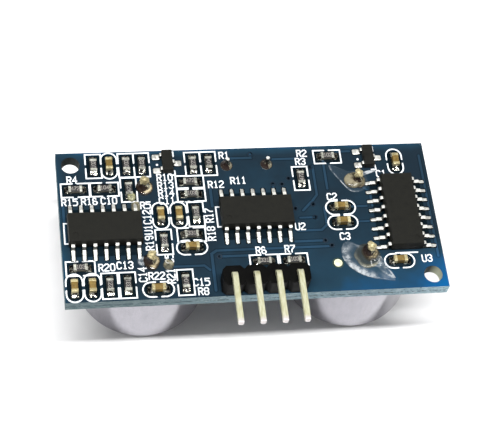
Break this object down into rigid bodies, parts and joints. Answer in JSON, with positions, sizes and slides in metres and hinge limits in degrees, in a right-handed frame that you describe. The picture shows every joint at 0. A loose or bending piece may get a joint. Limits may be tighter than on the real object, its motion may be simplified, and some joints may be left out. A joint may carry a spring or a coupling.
{
  "type": "ultrasonic distance sensor",
  "caption": "Circuit board module with two round open-front ultrasonic transducers on one face, small electronics on the other and a bent pin header along one edge.",
  "frame": {"origin": "centre of the circuit board outline on its transducer-side face, midway between the two corner holes", "axes": "+Z out of the component side, away from the transducers; +X along the board; +Y away from the header edge"},
  "size_m": [0.045, 0.0252, 0.0176],
  "materials": {
    "board": "satin blue solder mask over pale glass-fibre laminate",
    "tinned_copper": "bright tinned",
    "gold_plate": "pale flash gold",
    "tinned_leads": "bright tin",
    "solder": "smooth solder with flux stains",
    "moulding_compound": "fine matt moulded",
    "alumina": "matt white",
    "resistor_glaze": "glassy black",
    "capacitor_ceramic": "semi-matt ochre",
    "header_plastic": "moulded black",
    "gold_pin": "pale gold plate",
    "can_aluminium": "satin drawn",
    "crystal_steel": "satin nickel plate",
    "mesh_wire": "bright wire",
    "base_plastic": "moulded black",
    "silicone": "soft translucent white",
    "diaphragm_metal": "satin",
    "piezo_ceramic": "fired silver over ceramic",
    "cone_aluminium": "bright spun",
    "transducer_pin": "tinned brass",
    "copper_wire": "enamelled copper",
    "seal_glass": "dark green glass",
    "quartz": "clear with silvered electrodes"
  },
  "bodies": {
    "module": {"capacitor_bodies": "capacitor_ceramic", "capacitor_end_caps": "tinned_leads", "circuit_board": "board", "controller_body": "moulding_compound", "controller_leads": "tinned_leads", "crystal_base": "crystal_steel", "crystal_can": "crystal_steel", "crystal_clips": "crystal_steel", "crystal_leads": "tinned_leads", "crystal_seals": "seal_glass", "crystal_solder": "solder", "header_block": "header_plastic", "header_pin_1": "gold_pin", "header_pin_2": "gold_pin", "header_pin_3": "gold_pin", "header_pin_4": "gold_pin", "header_solder": "solder", "quartz_blank": "quartz", "receiver_amplifier_body": "moulding_compound", "receiver_amplifier_leads": "tinned_leads", "receiver_base": "base_plastic", "receiver_can": "can_aluminium", "receiver_mesh": "mesh_wire", "receiver_pins": "transducer_pin", "receiver_seat": "silicone", "receiver_wires": "copper_wire", "resistor_coats": "resistor_glaze", "resistor_cores": "alumina", "resistor_end_caps": "tinned_leads", "surface_lands": "tinned_copper", "surface_solder": "solder", "test_point": "gold_plate", "through_hole_lands": "tinned_copper", "transducer_solder": "solder", "transistor_bodies": "moulding_compound", "transistor_leads": "tinned_leads", "transmitter_base": "base_plastic", "transmitter_can": "can_aluminium", "transmitter_driver_body": "moulding_compound", "transmitter_driver_leads": "tinned_leads", "transmitter_mesh": "mesh_wire", "transmitter_pins": "transducer_pin", "transmitter_seat": "silicone", "transmitter_wires": "copper_wire", "via_barrels": "tinned_copper"},
    "receiver_diaphragm": {"receiver_cone": "cone_aluminium", "receiver_piezo": "piezo_ceramic", "receiver_plate": "diaphragm_metal"},
    "transmitter_diaphragm": {"transmitter_cone": "cone_aluminium", "transmitter_piezo": "piezo_ceramic", "transmitter_plate": "diaphragm_metal"}
  },
  "joints": [
    {"name": "receiver_diaphragm_slide", "type": "slide", "parent": "module", "child": "receiver_diaphragm", "axis": [0, 0, 1], "range_m": [-0.00001, 0.00001]},
    {"name": "transmitter_diaphragm_slide", "type": "slide", "parent": "module", "child": "transmitter_diaphragm", "axis": [0, 0, 1], "range_m": [-0.00001, 0.00001]}
  ]
}
